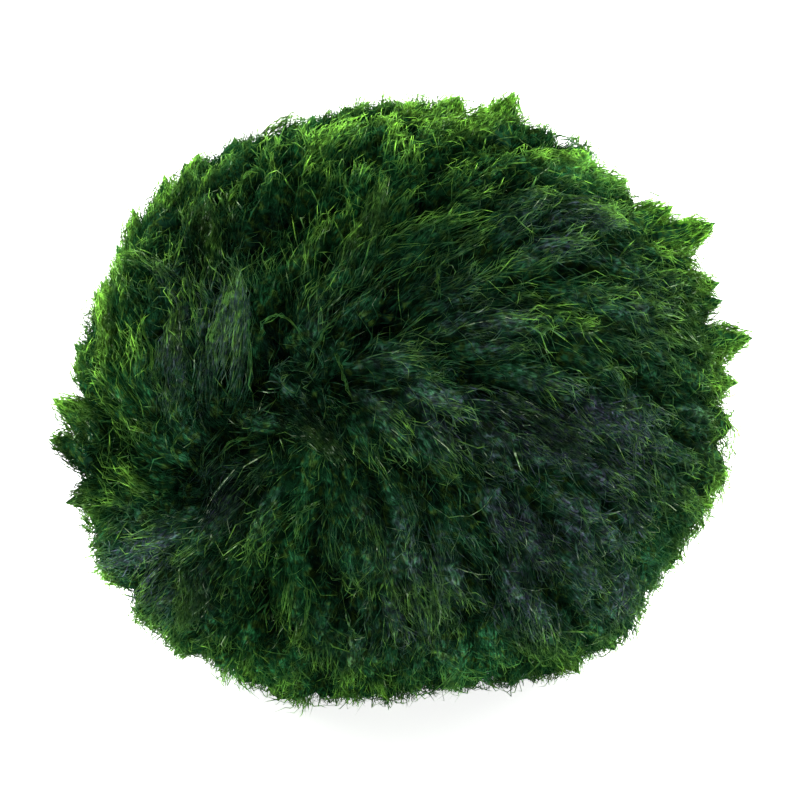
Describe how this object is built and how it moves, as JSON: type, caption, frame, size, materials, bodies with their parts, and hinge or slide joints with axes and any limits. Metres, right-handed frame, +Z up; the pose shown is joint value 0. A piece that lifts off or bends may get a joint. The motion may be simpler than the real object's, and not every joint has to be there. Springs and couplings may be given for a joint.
{
  "type": "marimo moss ball",
  "caption": "Soft, shaggy, slightly squashed ball of dark green filamentous alga that rests on a small flat spot, as an ornament for an aquarium, terrarium or jar.",
  "frame": {"origin": "bottom centre of the ball's box, on the surface that it rests on", "axes": "+Z up, +X to the right as seen from the front along the ball's longest side, -Y the front"},
  "size_m": [0.0548, 0.0512, 0.0443],
  "materials": {
    "alga": "wet matted fur of fine dark green filaments, brighter green at the tips, with a soft wet glint"
  },
  "bodies": {
    "root": {"moss_ball": "alga"}
  },
  "joints": []
}
